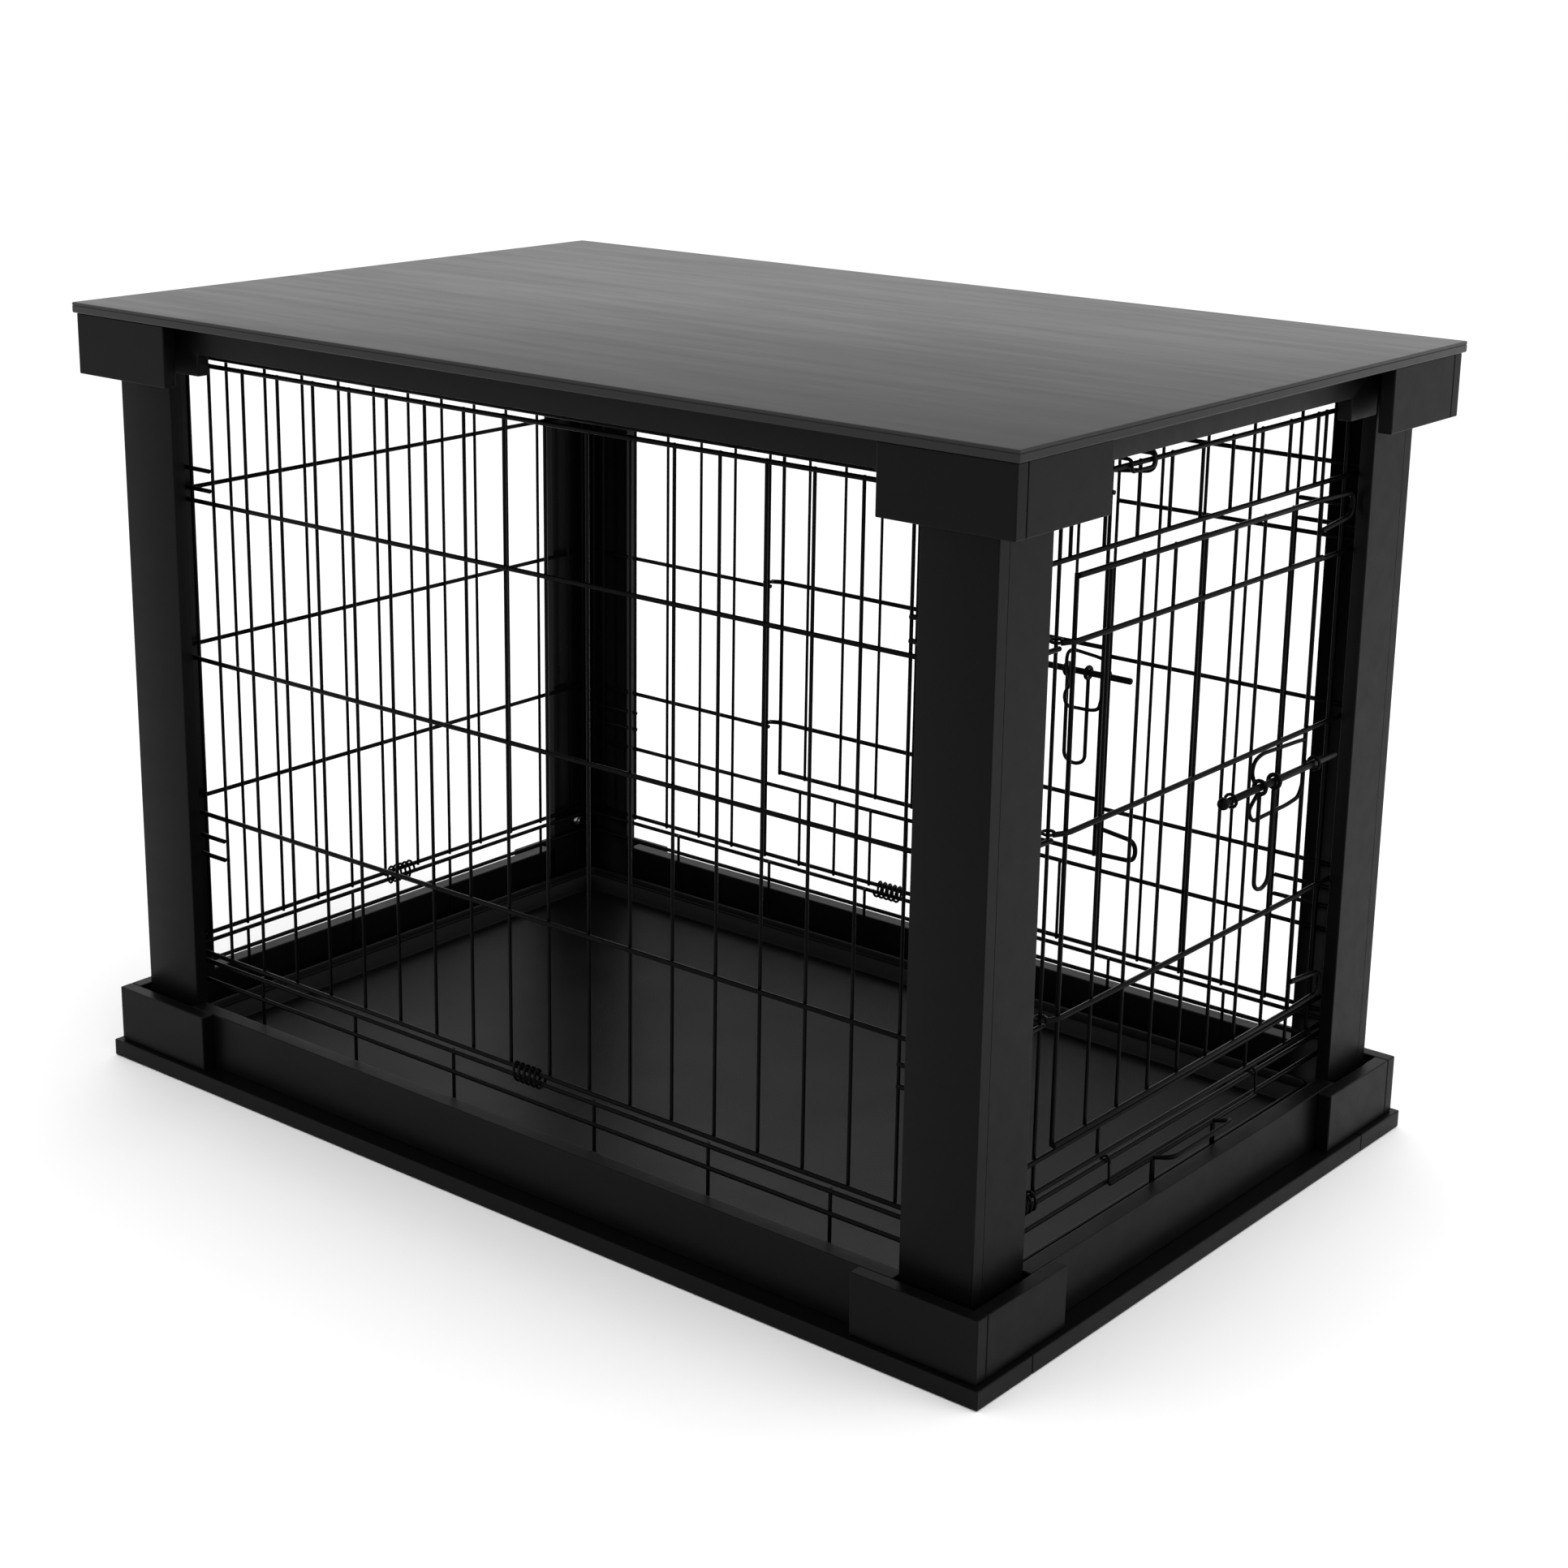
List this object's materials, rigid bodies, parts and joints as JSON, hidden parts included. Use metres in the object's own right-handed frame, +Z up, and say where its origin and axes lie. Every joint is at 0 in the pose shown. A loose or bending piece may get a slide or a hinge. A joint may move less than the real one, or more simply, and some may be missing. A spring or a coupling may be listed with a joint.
{
  "type": "dog_crate",
  "caption": "Folding wire dog crate with an end door, a side door and a slide-in pan, standing inside an open black furniture-style cover of painted board with a flat table top.",
  "frame": {"origin": "on the floor under the middle of the cover", "axes": "+X along the long side towards the end door, +Y towards the side door, +Z up; the plain long wall faces -Y"},
  "size_m": [0.958, 0.626, 0.678],
  "materials": {
    "painted_wood": "satin black paint on smooth board",
    "black_wire": "gloss black coating on steel wire",
    "black_plastic": "black moulded plastic, slightly glossy",
    "zinc_screw": "bright zinc screw heads"
  },
  "bodies": {
    "base": {"base_strip_front": "painted_wood", "base_strip_back": "painted_wood", "base_strip_left": "painted_wood", "base_strip_right": "painted_wood", "base_rail_front": "painted_wood", "base_rail_back": "painted_wood", "base_rail_left": "painted_wood", "base_rail_right": "painted_wood", "base_corner_front_left_long": "painted_wood", "base_corner_front_left_end": "painted_wood", "base_corner_front_right_long": "painted_wood", "base_corner_front_right_end": "painted_wood", "base_corner_back_left_long": "painted_wood", "base_corner_back_left_end": "painted_wood", "base_corner_back_right_long": "painted_wood", "base_corner_back_right_end": "painted_wood", "post_front_left": "painted_wood", "post_front_right": "painted_wood", "post_back_left": "painted_wood", "post_back_right": "painted_wood", "post_screw_front_left": "zinc_screw", "post_screw_front_right": "zinc_screw", "post_screw_back_left": "zinc_screw", "post_screw_back_right": "zinc_screw", "floor_frame": "black_wire", "back_wall": "black_wire", "top_grid": "black_wire", "coil_front_1": "black_wire", "coil_back_1": "black_wire", "coil_left_1": "black_wire", "coil_right_1": "black_wire"},
    "top_cover": {"top_panel": "painted_wood", "top_corner_front_left_long": "painted_wood", "top_corner_front_left_end": "painted_wood", "top_corner_front_right_long": "painted_wood", "top_corner_front_right_end": "painted_wood", "top_corner_back_left_long": "painted_wood", "top_corner_back_left_end": "painted_wood", "top_corner_back_right_long": "painted_wood", "top_corner_back_right_end": "painted_wood", "apron_front": "painted_wood", "apron_back": "painted_wood", "apron_left": "painted_wood", "apron_right": "painted_wood"},
    "front_wall": {"front_wall": "black_wire"},
    "left_wall": {"left_wall": "black_wire"},
    "right_wall": {"right_wall": "black_wire"},
    "end_door": {"end_door": "black_wire"},
    "end_bolt": {"end_bolt": "black_wire"},
    "end_bolt_handle": {"end_bolt_handle": "black_wire"},
    "side_door": {"side_door": "black_wire"},
    "side_bolt": {"side_bolt": "black_wire"},
    "side_bolt_handle": {"side_bolt_handle": "black_wire"},
    "pan": {"pan": "black_plastic"},
    "pan_stop": {"pan_stop": "black_wire"}
  },
  "joints": [
    {"name": "top_cover_lift", "type": "slide", "parent": "base", "child": "top_cover", "axis": [0, 0, 1], "range_m": [0, 0.3]},
    {"name": "front_wall_fold", "type": "hinge", "parent": "base", "child": "front_wall", "pos_m": [0, -0.2675, 0.10559], "axis": [1, 0, 0], "range_deg": [-88, 0]},
    {"name": "left_wall_fold", "type": "hinge", "parent": "base", "child": "left_wall", "pos_m": [-0.4305, 0, 0.10559], "axis": [0, 1, 0], "range_deg": [0, 90]},
    {"name": "right_wall_fold", "type": "hinge", "parent": "base", "child": "right_wall", "pos_m": [0.4305, 0, 0.10559], "axis": [0, -1, 0], "range_deg": [0, 88.5]},
    {"name": "end_door_hinge", "type": "hinge", "parent": "right_wall", "child": "end_door", "pos_m": [0.428, -0.184, 0.3535], "axis": [0, 0, 1], "range_deg": [-120, 0]},
    {"name": "end_bolt_slide", "type": "slide", "parent": "end_door", "child": "end_bolt", "axis": [0, -1, 0], "range_m": [0, 0.028]},
    {"name": "end_handle_swing", "type": "hinge", "parent": "end_bolt", "child": "end_bolt_handle", "pos_m": [0.4438, 0.098, 0.353], "axis": [0, -1, 0], "range_deg": [0, 90]},
    {"name": "side_door_hinge", "type": "hinge", "parent": "base", "child": "side_door", "pos_m": [-0.1926, 0.265, 0.377], "axis": [0, 0, 1], "range_deg": [0, 120]},
    {"name": "side_bolt_slide", "type": "slide", "parent": "side_door", "child": "side_bolt", "axis": [-1, 0, 0], "range_m": [0, 0.028]},
    {"name": "side_handle_swing", "type": "hinge", "parent": "side_bolt", "child": "side_bolt_handle", "pos_m": [0.15, 0.2808, 0.353], "axis": [1, 0, 0], "range_deg": [0, 90]},
    {"name": "pan_slide", "type": "slide", "parent": "base", "child": "pan", "axis": [1, 0, 0], "range_m": [0, 0.012]},
    {"name": "pan_stop_swing", "type": "hinge", "parent": "base", "child": "pan_stop", "pos_m": [0.4305, 0.013, 0.098], "axis": [0, -1, 0], "range_deg": [0, 4]}
  ]
}
